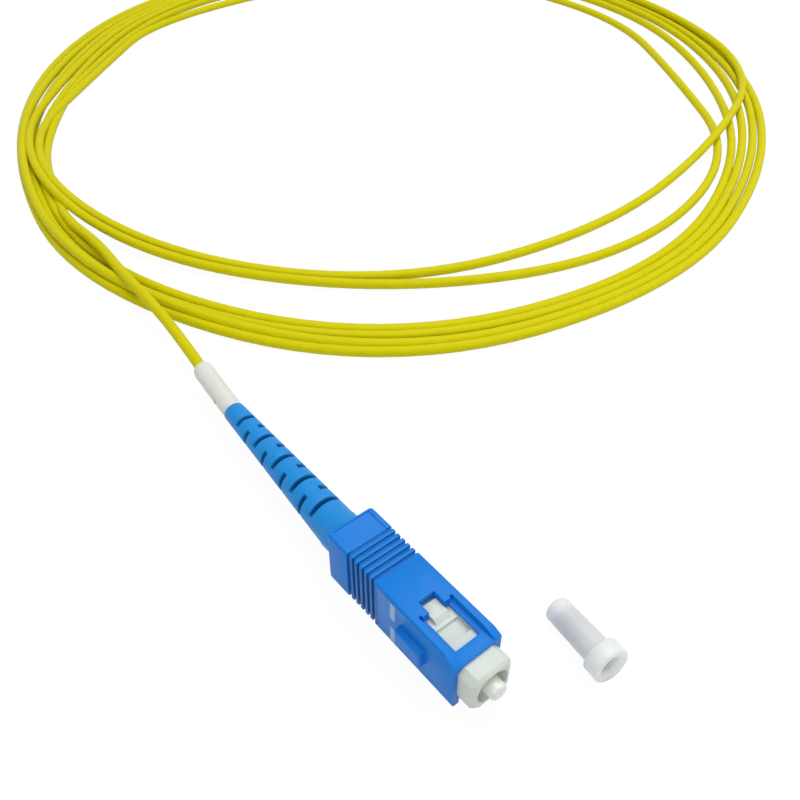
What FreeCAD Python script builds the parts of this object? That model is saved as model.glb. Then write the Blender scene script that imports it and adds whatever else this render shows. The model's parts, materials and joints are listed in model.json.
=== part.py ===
"""A simplex push-pull fibre connector on a coiled cable, with its dust cap taken off.

Sizes are in millimetres and angles in degrees. The origin is the centre of the ferrule's
end face. X points forward, out of the ferrule, Y to the left and Z up, out of the upper
latch window. The connector lies on its lower window face.
"""
import FreeCAD, Part
import math
import os

Vec = FreeCAD.Vector
AXIS_X = Vec(1, 0, 0)

# ---------------------------------------------------------------- driving dimensions
# Ferrule, fibre and buffer
FERRULE_D = 2.5
FERRULE_LENGTH = 10.5
FERRULE_SHOW = 7.6            # from the end face back to the flange's collar
FERRULE_TIP_CHAMFER = 0.4
SHANK_D = 2.1                 # the ferrule's stepped end, pressed into the flange
FIBRE_D = 0.125
BOND_GAP = 0.01               # adhesive film round the fibre
FUNNEL_LENGTH = 1.5
FUNNEL_D = 1.1
BUFFER_D = 0.9
BUFFER_CLEARANCE = 0.1        # radial, round the buffer in its passages
BUFFER_IN_JACKET = 10.3

# Ferrule flange and guide tube
COLLAR_D = 4.6
COLLAR_LENGTH = 1.8
COLLAR_SLOT = 0.8
COLLAR_SLOTS = 4
COLLAR_SLOT_DEPTH = 0.35
BARREL_D = 2.9
BARREL_LENGTH = 4.4
GUIDE_WALL = 0.2
GUIDE_LENGTH = 9.0

# Spring behind the collar
SPRING_WIRE = 0.4
SPRING_TURNS = 5
SPRING_FACETS = 4             # the wire's section is a polygon, to keep the mesh light
SPRING_CLEARANCE = 0.12       # radial, outside the flange barrel
SEAT_GAP = 0.05               # between the spring's ends and their seats

# Plug frame
FERRULE_PROUD = 1.3           # ferrule beyond the frame's nose
FRAME_INSIDE = 9.0            # from the housing's rear end forward to the frame's
FRAME_WIDTH = 6.2
FRAME_HEIGHT = 6.1
FRAME_CHAMFER = 0.9
NOSE_CHAMFER = 0.45
NOSE_BORE_D = 4.9
SEAT_WALL = 1.0
FERRULE_HOLE_CLEARANCE = 0.65 # lets an alignment sleeve pass
COLLAR_CLEARANCE = 0.1
LATCH_SHOULDER_X = -7.2       # rear face of the shoulder that a latch arm hooks behind
LATCH_POCKET_LENGTH = 2.4
LATCH_POCKET_DEPTH = 0.5
LATCH_POCKET_WIDTH = 4.3
LATCH_RAMP_LENGTH = 1.1
GUIDE_PAD_WIDTH = 2.24
GUIDE_PAD_RISE = 0.65
GUIDE_PAD_END_X = -12.9

# Outer housing
HOUSING_LENGTH = 25.0
HOUSING_WIDTH = 7.4
HOUSING_HEIGHT = 9.0
HOUSING_FRONT_X = -4.0
HOUSING_EDGE_R = 0.4
HOUSING_REAR_R = 0.6
SLIDE_CLEARANCE = 0.1         # between the housing's cavity and the plug frame
SLIDE_FORWARD = 0.4
SLIDE_BACK = 1.6
STOP_MARGIN = 0.1             # left at each stop of the slide
WINDOW_WIDTH = 3.8
WINDOW_NECK_LENGTH = 2.0
WINDOW_NECK_WIDTH = 2.5
FRONT_BAR = 1.9
CHANNEL_WIDTH = 5.3
CHANNEL_DEPTH = 0.9
CHANNEL_NOTCH = 0.35
RAIL_RAMP_LENGTH = 2.1
RAIL_RAMP_DROP = 0.75
REAR_BLOCK = 4.4
RIB_COUNT = 5
RIB_PITCH = 1.0
GROOVE_WIDTH = 0.5
GROOVE_DEPTH = 0.3
GRIP_LENGTH = 7.5
GRIP_INSET = 0.15
GRIP_END_R = 6.0
PANEL_RIM = 0.55
PANEL_DEPTH = 0.15
KEY_LENGTH = 4.8
KEY_WIDTH = 2.6
KEY_HEIGHT = 1.0
KEY_FRONT_X = -9.1
KEY_FILLET = 0.3

# Rear body, crimp ring, yarn
HEAD_D = 5.0
HEAD_GAP = 0.05
HEAD_LENGTH = 3.3
SNAP_LENGTH = 1.4
SNAP_WIDTH = 2.2
SNAP_RISE = 0.42
SNAP_GAP = 0.1
SHOULDER_D = 4.8
SHOULDER_LENGTH = 1.4
TAIL_D = 3.3
TAIL_LENGTH = 7.4
TAIL_RIDGES = 3
TAIL_RIDGE_DEPTH = 0.12
YARN_WALL = 0.15
CRIMP_WALL = 0.35
CRIMP_STEP_LENGTH = 0.9
CRIMP_SMALL_LENGTH = 3.0
CRIMP_SMALL_WALL = 0.45

# Cable jacket
JACKET_D = 1.9
JACKET_BORE_D = 1.3
JACKET_GAP = 0.03             # between the jacket and what is crimped or slid over it
CABLE_FACETS = 12             # flats round the free cable's plain tube

# Boot and marker sleeve
BOOT_BASE_D = 6.1
BOOT_NECK_D = 5.4
BOOT_BORE_GAP = 0.05
BOOT_INSIDE = 2.9             # from the housing's rear end forward to the boot's shoulder
BOOT_NECK_LENGTH = 3.5
BOOT_BASE_LENGTH = 5.4
BOOT_SHOW = 31.3              # from the housing's rear end back to the boot's tip
BOOT_TAPER_D = 5.95           # where the taper leaves the base
BOOT_TAPER_LAP = 0.5          # of the taper inside the base
BOOT_TIP_D = 3.4
BOOT_SLOTS = 5
BOOT_SLOT_PITCH = 5.4
BOOT_SLOT_WIDTH = 0.85
BOOT_SLOT_START = 8.6         # from the boot's shoulder to the first slot's middle
BOOT_SLOT_SHARE = 0.38        # a slot starts this share of the radius off the axis
BOOT_CORE_WALL = 0.2
BEND_R = 315.0
SLEEVE_LENGTH = 12.0
SLEEVE_WALL = 0.65

# Dust cap, lying beside the connector
CAP_LENGTH = 10.9
CAP_TIP_D = 3.6
CAP_BASE_D = 3.85
CAP_TIP_CHAMFER = 0.5
CAP_FLANGE_D = 5.2
CAP_FLANGE_LENGTH = 2.4
CAP_FLANGE_CHAMFER = 0.2
CAP_HOLE_CLEARANCE = 0.02
CAP_HOLE_DEPTH = 8.8
CAP_MOUTH_CHAMFER = 0.5
CAP_PLACE = (5.9, 14.0)
CAP_YAW = -8.5

# Free cable: its route to the coil after a straight lead out of the sleeve, as distances
# forward, left and up from the floor, and the coil's radii at every 30 degrees from its front
LEAD = 12.0
ROUTE = [
    (-98.0, 5.7, 3.6),
    (-114.0, 7.5, 3.3),
    (-130.0, 8.6, JACKET_D / 2),
    (-148.0, 10.9, JACKET_D / 2),
    (-164.9, 15.0, JACKET_D / 2),
]
COIL_CENTRE = (-149.8, 104.6)
COIL_TURN = -39.6             # from +X to the coil's front
COIL_EDGE_R = [116.8, 108.8, 98.1, 93.8, 92.8, 93.0, 93.4, 93.0, 92.4, 92.3, 97.6, 110.2]
COIL_BUNDLE = [6.6, 6.8, 9.0, 12.5, 11.0, 10.5, 10.5, 10.5, 9.5, 8.2, 7.2, 6.6]
SLACK_EDGE_R = [97.4, 98.3, 93.6, 91.5, 91.0, 91.0, 91.4, 91.0, 91.0, 91.0, 94.6, 97.0]
SLACK_BUNDLE = [4.6, 12.7, 7.6, 5.0, 5.0, 5.0, 5.0, 5.0, 5.0, 4.6, 4.4, 3.4]
COIL_LAYER = 2.1
COIL_SIDES = 48               # flats round the coil's plain outer shape

# ---------------------------------------------------------------- derived places
FLOOR_Z = -HOUSING_HEIGHT / 2
FRAME_FRONT_X = -FERRULE_PROUD
HOUSING_REAR_X = HOUSING_FRONT_X - HOUSING_LENGTH
FRAME_REAR_X = HOUSING_REAR_X + FRAME_INSIDE
SEAT_X = -FERRULE_SHOW + SEAT_GAP
HEAD_FRONT_X = FRAME_REAR_X + HEAD_LENGTH
COLLAR_REAR_X = -FERRULE_SHOW - COLLAR_LENGTH
BARREL_REAR_X = COLLAR_REAR_X - BARREL_LENGTH
GUIDE_ID = BUFFER_D + 2 * BUFFER_CLEARANCE
GUIDE_OD = GUIDE_ID + 2 * GUIDE_WALL
SPRING_MEAN_R = BARREL_D / 2 + SPRING_CLEARANCE + SPRING_WIRE / 2
FRAME_CAVITY_D = COLLAR_D + 2 * COLLAR_CLEARANCE
CAVITY_REAR_X = FRAME_REAR_X - SLIDE_FORWARD - STOP_MARGIN
BOOT_SHOULDER_X = HOUSING_REAR_X + BOOT_INSIDE
BOOT_NECK_X = BOOT_SHOULDER_X + BOOT_NECK_LENGTH
BOOT_TIP_X = HOUSING_REAR_X - BOOT_SHOW
COUNTERBORE_X = BOOT_SHOULDER_X + SLIDE_BACK + STOP_MARGIN
WINDOW_FRONT_X = HOUSING_FRONT_X - FRONT_BAR
WINDOW_REAR_X = GUIDE_PAD_END_X - SLIDE_FORWARD - STOP_MARGIN
NECK_FRONT_X = WINDOW_REAR_X + WINDOW_NECK_LENGTH
SHOULDER_REAR_X = FRAME_REAR_X - SHOULDER_LENGTH
TAIL_REAR_X = SHOULDER_REAR_X - TAIL_LENGTH
JACKET_START_X = TAIL_REAR_X - CRIMP_STEP_LENGTH
BUFFER_END_X = JACKET_START_X - BUFFER_IN_JACKET
TAIL_BORE_D = GUIDE_OD + 2 * BUFFER_CLEARANCE
YARN_D = TAIL_D + 2 * YARN_WALL
CRIMP_D = YARN_D + 2 * CRIMP_WALL
CRIMP_SMALL_BORE_D = JACKET_D + 2 * JACKET_GAP
CRIMP_REAR_X = JACKET_START_X - CRIMP_SMALL_LENGTH
BOOT_BORE_D = CRIMP_D + 2 * BOOT_BORE_GAP
BOOT_PASSAGE_D = JACKET_D + 2 * JACKET_GAP
BEND_START_X = BOOT_SHOULDER_X - BOOT_BASE_LENGTH


# ---------------------------------------------------------------- helpers
def block(x0, x1, width, height, z0=None):
    """Returns a box from x0 to x1, centred on y = 0, and on z = 0 unless z0 is its floor."""
    low = -height / 2 if z0 is None else z0
    return Part.makeBox(abs(x1 - x0), width, height, Vec(min(x0, x1), -width / 2, low))


def rod(x0, x1, diameter):
    """Returns a cylinder along X from x0 to x1."""
    return Part.makeCylinder(diameter / 2, abs(x1 - x0), Vec(min(x0, x1), 0, 0), AXIS_X)


def cone(x0, x1, d0, d1):
    """Returns a cone along X with diameter d0 at x0 and d1 at x1."""
    if x1 < x0:
        x0, x1, d0, d1 = x1, x0, d1, d0
    return Part.makeCone(d0 / 2, d1 / 2, x1 - x0, Vec(x0, 0, 0), AXIS_X)


def ring(x0, x1, outer, inner):
    """Returns a tube along X from x0 to x1."""
    return rod(x0, x1, outer).cut(rod(x0, x1, inner))


def both_windows(shape):
    """Returns a shape made for the upper window together with its twin for the lower one."""
    twin = shape.copy()
    twin.rotate(Vec(0, 0, 0), AXIS_X, 180)
    return shape.fuse(twin)


def both_sides(shape):
    """Returns a shape made for the left side together with its mirror for the right one."""
    return shape.fuse(shape.mirror(Vec(0, 0, 0), Vec(0, 1, 0)))


def octagon_bar(x0, x1, width, height, chamfer):
    """Returns a bar along X whose four long edges are chamfered."""
    w, h, c = width / 2, height / 2, chamfer
    corners = [(w, h - c), (w - c, h), (c - w, h), (-w, h - c),
               (-w, c - h), (c - w, -h), (w - c, -h), (w, c - h)]
    points = [Vec(min(x0, x1), y, z) for y, z in corners]
    face = Part.Face(Part.makePolygon(points + points[:1]))
    return face.extrude(Vec(abs(x1 - x0), 0, 0))


def fillet_edges(shape, radius, wanted):
    """Returns the shape with a fillet on each straight edge for which wanted(edge) is true."""
    edges = [e for e in shape.Edges if wanted(e)]
    return shape.makeFillet(radius, edges)


def along_x(edge):
    """Tells whether an edge runs along X."""
    a, b = edge.Vertexes[0].Point, edge.Vertexes[-1].Point
    return abs(a.x - b.x) > 1e-3 and abs(a.y - b.y) < 1e-6 and abs(a.z - b.z) < 1e-6


def at_x(x):
    """Returns a test for edges that lie in the plane of one x."""
    return lambda edge: all(abs(v.Point.x - x) < 1e-6 for v in edge.Vertexes)


def bend_point(x):
    """Returns the place and backward direction of the cable's axis at a nominal x."""
    if x >= BEND_START_X:
        return Vec(x, 0, 0), Vec(-1, 0, 0)
    angle = (BEND_START_X - x) / BEND_R
    place = Vec(BEND_START_X - BEND_R * math.sin(angle), BEND_R * (1 - math.cos(angle)), 0)
    return place, Vec(-math.cos(angle), math.sin(angle), 0)


def circle_at(x, diameter):
    """Returns a circular wire round the bent axis at a nominal x."""
    place, way = bend_point(x)
    return Part.Wire(Part.Circle(place, way, diameter / 2).toShape())


def bent_rod(x0, x1, diameter):
    """Returns a rod that follows the bent axis from x0 back to x1."""
    middle = bend_point((x0 + x1) / 2)[0]
    path = Part.Wire(Part.Arc(bend_point(x0)[0], middle, bend_point(x1)[0]).toShape())
    return path.makePipeShell([circle_at(x0, diameter)], True, True)


def tube_path(points):
    """Returns straight runs joined by tangent arcs through a list of points, and the radii."""
    edges, radii, start = [], [], points[0]
    for before, corner, after in zip(points, points[1:], points[2:]):
        back, ahead = before - corner, after - corner
        turn = math.pi - back.getAngle(ahead)
        trim = 0.45 * min(back.Length, ahead.Length)
        radius = trim / math.tan(turn / 2)
        back.normalize()
        ahead.normalize()
        a, b = corner + back * trim, corner + ahead * trim
        inward = back + ahead
        inward.normalize()
        reach = radius / math.cos(turn / 2) - radius
        edges.append(Part.LineSegment(start, a).toShape())
        edges.append(Part.Arc(a, corner + inward * reach, b).toShape())
        radii.append(radius)
        start = b
    edges.append(Part.LineSegment(start, points[-1]).toShape())
    return Part.Wire(edges), radii


# ---------------------------------------------------------------- ferrule group
def make_ferrule():
    """The ceramic ferrule: chamfered tip, fibre bore and rear funnel."""
    body = rod(-FERRULE_SHOW, -FERRULE_TIP_CHAMFER, FERRULE_D)
    shank = rod(-FERRULE_LENGTH, -FERRULE_SHOW, SHANK_D)
    tip = cone(-FERRULE_TIP_CHAMFER, 0, FERRULE_D, FERRULE_D - 2 * FERRULE_TIP_CHAMFER)
    bore = rod(-FERRULE_LENGTH, 0, FIBRE_D + 2 * BOND_GAP)
    funnel = cone(-FERRULE_LENGTH, FUNNEL_LENGTH - FERRULE_LENGTH, FUNNEL_D, FIBRE_D + 2 * BOND_GAP)
    return body.fuse([tip, shank]).removeSplitter().cut(bore).cut(funnel)


def make_ferrule_flange():
    """The metal holder pressed on the ferrule, with a slotted collar and a barrel."""
    collar = rod(-FERRULE_SHOW, COLLAR_REAR_X, COLLAR_D)
    barrel = rod(COLLAR_REAR_X, BARREL_REAR_X, BARREL_D)
    body = collar.fuse(barrel).removeSplitter()
    body = body.cut(rod(-FERRULE_SHOW, -FERRULE_LENGTH, SHANK_D))
    body = body.cut(rod(-FERRULE_LENGTH, BARREL_REAR_X, GUIDE_OD))
    for i in range(COLLAR_SLOTS):
        slot = Part.makeBox(COLLAR_LENGTH, COLLAR_SLOT, COLLAR_D,
                            Vec(COLLAR_REAR_X, -COLLAR_SLOT / 2, COLLAR_D / 2 - COLLAR_SLOT_DEPTH))
        slot.rotate(Vec(0, 0, 0), AXIS_X, 45 + i * 360 / COLLAR_SLOTS)
        body = body.cut(slot)
    return body


def make_guide_tube():
    """The plastic tube that leads the buffered fibre into the flange."""
    return ring(-FERRULE_LENGTH, -FERRULE_LENGTH - GUIDE_LENGTH, GUIDE_OD, GUIDE_ID)


def make_glass_fibre():
    """The bare glass, from the polished end face to the buffer's end."""
    return rod(BUFFER_END_X, 0, FIBRE_D)


def make_tight_buffer():
    """The tight buffer round the glass."""
    return ring(-FERRULE_LENGTH, BUFFER_END_X, BUFFER_D, FIBRE_D)


def make_ferrule_spring():
    """The compression spring between the collar and the rear body."""
    front = COLLAR_REAR_X - SEAT_GAP
    rear = HEAD_FRONT_X + SEAT_GAP
    height = front - rear - SPRING_WIRE
    helix = Part.makeHelix(height / SPRING_TURNS, height, SPRING_MEAN_R)
    wire = Part.Wire(helix.Edges)
    half = SPRING_WIRE / 2
    angles = [2 * math.pi * i / SPRING_FACETS for i in range(SPRING_FACETS + 1)]
    corners = [Vec(SPRING_MEAN_R + half * math.cos(a), 0, half * math.sin(a)) for a in angles]
    spring = wire.makePipeShell([Part.makePolygon(corners)], True, True)
    spring.rotate(Vec(0, 0, 0), Vec(0, 1, 0), 90)
    spring.translate(Vec(rear + SPRING_WIRE / 2, 0, 0))
    return spring


# ---------------------------------------------------------------- plug frame
def make_plug_frame():
    """The inner plug frame: nose, ferrule seat, spring cavity, latch pockets and guide pads."""
    body = octagon_bar(FRAME_REAR_X, FRAME_FRONT_X, FRAME_WIDTH, FRAME_HEIGHT, FRAME_CHAMFER)
    body = body.makeChamfer(NOSE_CHAMFER, [e for e in body.Edges if at_x(FRAME_FRONT_X)(e)])
    body = body.fuse(both_windows(guide_pad()))
    body = body.cut(both_windows(latch_pocket()))
    nose_end = SEAT_X + SEAT_WALL
    body = body.cut(rod(nose_end, FRAME_FRONT_X, NOSE_BORE_D))
    body = body.cut(rod(SEAT_X, nose_end, FERRULE_D + 2 * FERRULE_HOLE_CLEARANCE))
    body = body.cut(rod(HEAD_FRONT_X, SEAT_X, FRAME_CAVITY_D))
    body = body.cut(rod(FRAME_REAR_X, HEAD_FRONT_X, HEAD_D + 2 * HEAD_GAP))
    return body.cut(snap_bar(SNAP_GAP, FRAME_WIDTH))


def snap_middle_x():
    """Returns the middle of the snaps that hold the rear body in the frame."""
    return FRAME_REAR_X + HEAD_LENGTH / 2


def snap_bar(gap, width):
    """Returns a bar across the frame's two side walls, for the snaps or their slots."""
    middle = snap_middle_x()
    half = SNAP_LENGTH / 2 + gap
    return block(middle - half, middle + half, width, SNAP_WIDTH + 2 * gap)


def guide_pad():
    """The raised pad that runs in the neck of the upper window, with its front ramp."""
    top = FRAME_HEIGHT / 2
    foot = top - LATCH_POCKET_DEPTH
    front = LATCH_SHOULDER_X - LATCH_POCKET_LENGTH
    profile = [(GUIDE_PAD_END_X, foot), (GUIDE_PAD_END_X, top + GUIDE_PAD_RISE),
               (front - LATCH_RAMP_LENGTH, top + GUIDE_PAD_RISE), (front, foot)]
    points = [Vec(x, -GUIDE_PAD_WIDTH / 2, z) for x, z in profile]
    return Part.Face(Part.makePolygon(points + points[:1])).extrude(Vec(0, GUIDE_PAD_WIDTH, 0))


def latch_pocket():
    """The hollow behind the latch shoulder on the upper face."""
    top = FRAME_HEIGHT / 2
    rear = LATCH_SHOULDER_X - LATCH_POCKET_LENGTH
    return block(rear, LATCH_SHOULDER_X, LATCH_POCKET_WIDTH, LATCH_POCKET_DEPTH + 1,
                 top - LATCH_POCKET_DEPTH)


# ---------------------------------------------------------------- outer housing
def housing_blank():
    """The housing's outside: rounded block, ramped upper rails, inset grip and key."""
    body = block(HOUSING_REAR_X, HOUSING_FRONT_X, HOUSING_WIDTH, HOUSING_HEIGHT)
    body = fillet_edges(body, HOUSING_EDGE_R, along_x)
    body = fillet_edges(body, HOUSING_REAR_R, at_x(HOUSING_REAR_X))
    body = body.cut(rail_ramp())
    body = body.cut(both_sides(grip_cut()))
    for cutter in grip_grooves():
        body = body.cut(cutter)
    body = body.cut(both_windows(rear_panel()))
    return body.fuse(key_bar())


def rail_ramp():
    """What is taken off the upper rails' front ends."""
    top = HOUSING_HEIGHT / 2
    points = [Vec(HOUSING_FRONT_X - RAIL_RAMP_LENGTH, 0, top), Vec(HOUSING_FRONT_X, 0, top - RAIL_RAMP_DROP),
              Vec(HOUSING_FRONT_X + 1, 0, top - RAIL_RAMP_DROP), Vec(HOUSING_FRONT_X + 1, 0, top + 1),
              Vec(HOUSING_FRONT_X - RAIL_RAMP_LENGTH, 0, top + 1)]
    face = Part.Face(Part.makePolygon(points + points[:1]))
    face.translate(Vec(0, -HOUSING_WIDTH, 0))
    return face.extrude(Vec(0, 2 * HOUSING_WIDTH, 0))


def grip_cut():
    """What is taken off the left side along the grip, ending forward in an arc."""
    rear = HOUSING_REAR_X + REAR_BLOCK
    front = rear + GRIP_LENGTH
    side = HOUSING_WIDTH / 2 - GRIP_INSET
    long_box = Part.makeBox(front - rear, 2, HOUSING_HEIGHT + 2, Vec(rear, side, -HOUSING_HEIGHT / 2 - 1))
    bulge = Part.makeCylinder(GRIP_END_R, 4, Vec(front - GRIP_END_R, side, 0), Vec(0, 1, 0))
    keep_back = Part.makeBox(GRIP_END_R * 2, 4, HOUSING_HEIGHT + 2,
                             Vec(front - GRIP_END_R, side, -HOUSING_HEIGHT / 2 - 1))
    return long_box.cut(keep_back.cut(bulge))


def grip_grooves():
    """The grooves that run right round the grip and leave the ribs between them."""
    grooves = []
    width = HOUSING_WIDTH - 2 * (GRIP_INSET + GROOVE_DEPTH)
    height = HOUSING_HEIGHT - 2 * GROOVE_DEPTH
    for i in range(RIB_COUNT + 1):
        x = HOUSING_REAR_X + REAR_BLOCK + i * RIB_PITCH
        outside = block(x, x + GROOVE_WIDTH, HOUSING_WIDTH + 2, HOUSING_HEIGHT + 2)
        grooves.append(outside.cut(block(x, x + GROOVE_WIDTH, width, height)))
    return grooves


def rear_panel():
    """The shallow recess in the upper face of the rear block."""
    x0 = HOUSING_REAR_X + PANEL_RIM
    x1 = HOUSING_REAR_X + REAR_BLOCK
    width = HOUSING_WIDTH - 4 * PANEL_RIM + 0.6
    return block(x0, x1, width, 1, HOUSING_HEIGHT / 2 - PANEL_DEPTH)


def key_bar():
    """The polarising key on the right side."""
    bar = Part.makeBox(KEY_LENGTH, KEY_HEIGHT + 0.2, KEY_WIDTH,
                       Vec(KEY_FRONT_X - KEY_LENGTH, -HOUSING_WIDTH / 2 - KEY_HEIGHT, -KEY_WIDTH / 2))
    face_y = -HOUSING_WIDTH / 2 - KEY_HEIGHT
    return fillet_edges(bar, KEY_FILLET, lambda e: all(abs(v.Point.y - face_y) < 1e-6 for v in e.Vertexes))


def latch_window():
    """The bottle-shaped upper window with the channel that its latch arm slides along."""
    top = HOUSING_HEIGHT / 2
    reach = top + 1
    neck = block(WINDOW_REAR_X, NECK_FRONT_X, WINDOW_NECK_WIDTH, reach, 0)
    wide = block(NECK_FRONT_X, WINDOW_FRONT_X, WINDOW_WIDTH, reach, 0)
    floor_z = top - CHANNEL_DEPTH
    channel = block(NECK_FRONT_X, HOUSING_FRONT_X, CHANNEL_WIDTH, 2, floor_z)
    notch = block(NECK_FRONT_X - CHANNEL_NOTCH, NECK_FRONT_X, CHANNEL_WIDTH, 2, floor_z)
    notch = notch.cut(block(NECK_FRONT_X - CHANNEL_NOTCH, NECK_FRONT_X, WINDOW_WIDTH + 0.6, 4, floor_z - 1))
    return neck.fuse([wide, channel, notch])


def make_outer_housing():
    """The push-pull outer housing that slides on the plug frame."""
    body = housing_blank()
    cavity = octagon_bar(CAVITY_REAR_X, HOUSING_FRONT_X, FRAME_WIDTH + 2 * SLIDE_CLEARANCE,
                         FRAME_HEIGHT + 2 * SLIDE_CLEARANCE, FRAME_CHAMFER)
    body = body.cut(cavity)
    body = body.cut(rod(HOUSING_REAR_X, CAVITY_REAR_X, BOOT_NECK_D + 2 * SLIDE_CLEARANCE))
    body = body.cut(rod(HOUSING_REAR_X, COUNTERBORE_X, BOOT_BASE_D + 2 * SLIDE_CLEARANCE))
    return body.cut(both_windows(latch_window()))


# ---------------------------------------------------------------- rear end
def make_rear_body():
    """The rear body: head in the frame with two snaps, shoulder and ridged crimp tail."""
    head = rod(FRAME_REAR_X, HEAD_FRONT_X, HEAD_D)
    shoulder = rod(SHOULDER_REAR_X, FRAME_REAR_X, SHOULDER_D)
    tail = rod(TAIL_REAR_X, SHOULDER_REAR_X, TAIL_D)
    body = head.fuse([shoulder, tail, snap_bar(0, HEAD_D + 2 * SNAP_RISE)]).removeSplitter()
    for i in range(TAIL_RIDGES):
        x = TAIL_REAR_X + (i + 0.5) * TAIL_LENGTH / (TAIL_RIDGES + 1)
        body = body.cut(ring(x, x + TAIL_LENGTH / (2 * TAIL_RIDGES + 2), TAIL_D + 1,
                             TAIL_D - 2 * TAIL_RIDGE_DEPTH))
    return body.cut(rod(TAIL_REAR_X, HEAD_FRONT_X, TAIL_BORE_D))


def make_aramid_yarn():
    """The strength yarn folded back over the tail and gripped by the crimp ring."""
    return ring(TAIL_REAR_X, SHOULDER_REAR_X, YARN_D, TAIL_D)


def make_crimp_ring():
    """The stepped crimp ring, large on the yarn and small on the jacket."""
    big = rod(TAIL_REAR_X, SHOULDER_REAR_X, CRIMP_D)
    small_d = CRIMP_SMALL_BORE_D + 2 * CRIMP_SMALL_WALL
    step = cone(JACKET_START_X, TAIL_REAR_X, small_d, CRIMP_D)
    small = rod(CRIMP_REAR_X, JACKET_START_X, small_d)
    body = big.fuse([step, small]).removeSplitter()
    body = body.cut(rod(TAIL_REAR_X, SHOULDER_REAR_X, YARN_D))
    return body.cut(rod(CRIMP_REAR_X, TAIL_REAR_X, CRIMP_SMALL_BORE_D))


def make_jacket_end():
    """The end of the cable's jacket, from the crimp to the marker sleeve's rear."""
    straight = rod(JACKET_START_X, BEND_START_X, JACKET_D)
    bent = bent_rod(BEND_START_X, sleeve_rear_x(), JACKET_D)
    body = straight.fuse(bent)
    return body.cut(rod(JACKET_START_X, BUFFER_END_X - 2, JACKET_BORE_D))


def sleeve_rear_x():
    """Returns the nominal x of the marker sleeve's rear end."""
    return BOOT_TIP_X - SLEEVE_LENGTH


def boot_diameter(x):
    """Returns the boot's outer diameter at a nominal x behind its straight base."""
    share = (x - BEND_START_X) / (BOOT_TIP_X - BEND_START_X)
    return BOOT_TAPER_D + (BOOT_TIP_D - BOOT_TAPER_D) * share


def boot_taper():
    """Returns the boot's tapered outside, turned to the left and trimmed square to the cable."""
    end, end_way = bend_point(BOOT_TIP_X)
    start = bend_point(BEND_START_X)[0]
    way = end - start
    length = way.Length
    way.normalize()
    slope = (BOOT_TIP_D - BOOT_TAPER_D) / length
    front_d = BOOT_TAPER_D - slope * BOOT_TAPER_LAP
    rear_d = BOOT_TIP_D + slope * BOOT_TAPER_LAP
    taper = Part.makeCone(front_d / 2, rear_d / 2, length + 2 * BOOT_TAPER_LAP,
                          start - way * BOOT_TAPER_LAP, way)
    return taper.cut(Part.makeCylinder(BOOT_BASE_D, BOOT_BASE_D, end, end_way))


def make_boot():
    """The slotted strain-relief boot, tapered and turned slightly to the left."""
    body = boot_taper().fuse([rod(BEND_START_X, BOOT_SHOULDER_X, BOOT_BASE_D),
                              rod(BOOT_SHOULDER_X, BOOT_NECK_X, BOOT_NECK_D)])
    body = body.cut(rod(JACKET_START_X, BOOT_NECK_X, BOOT_BORE_D))
    body = body.cut(rod(CRIMP_REAR_X - 0.2, JACKET_START_X, CRIMP_D))
    body = body.cut(bent_rod(BEND_START_X, BOOT_TIP_X, BOOT_PASSAGE_D))
    for i in range(BOOT_SLOTS):
        x = BOOT_SHOULDER_X - BOOT_SLOT_START - i * BOOT_SLOT_PITCH
        body = body.cut(boot_slot(x, 90)).cut(boot_slot(x, -90))
        if i < BOOT_SLOTS - 1:
            between = x - BOOT_SLOT_PITCH / 2
            body = body.cut(boot_slot(between, 0)).cut(boot_slot(between, 180))
    return body


def boot_slot(x, facing):
    """Returns the cutter of one slot, facing an angle round the axis from +Y."""
    reach = BOOT_SLOT_SHARE * boot_diameter(x) / 2
    inside = BOOT_PASSAGE_D if x < CRIMP_REAR_X - BOOT_SLOT_WIDTH else CRIMP_D
    core = max(inside + 2 * BOOT_CORE_WALL, 2 * reach)
    cutter = Part.makeBox(BOOT_SLOT_WIDTH, BOOT_BASE_D, 2 * BOOT_BASE_D,
                          Vec(-BOOT_SLOT_WIDTH / 2, reach, -BOOT_BASE_D))
    chamfer = core * (1 - math.sqrt(0.5))
    cutter = cutter.cut(octagon_bar(-BOOT_SLOT_WIDTH, BOOT_SLOT_WIDTH, core, core, chamfer))
    place, way = bend_point(x)
    cutter.rotate(Vec(0, 0, 0), AXIS_X, facing)
    cutter.rotate(Vec(0, 0, 0), Vec(0, 0, 1), -math.degrees(math.asin(way.y)))
    cutter.translate(place)
    return cutter


def make_marker_sleeve():
    """The plain marker sleeve that sits on the jacket behind the boot."""
    outside = bent_rod(BOOT_TIP_X, sleeve_rear_x(), BOOT_PASSAGE_D + 2 * SLEEVE_WALL)
    return outside.cut(bent_rod(BOOT_TIP_X, sleeve_rear_x(), BOOT_PASSAGE_D))


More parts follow.
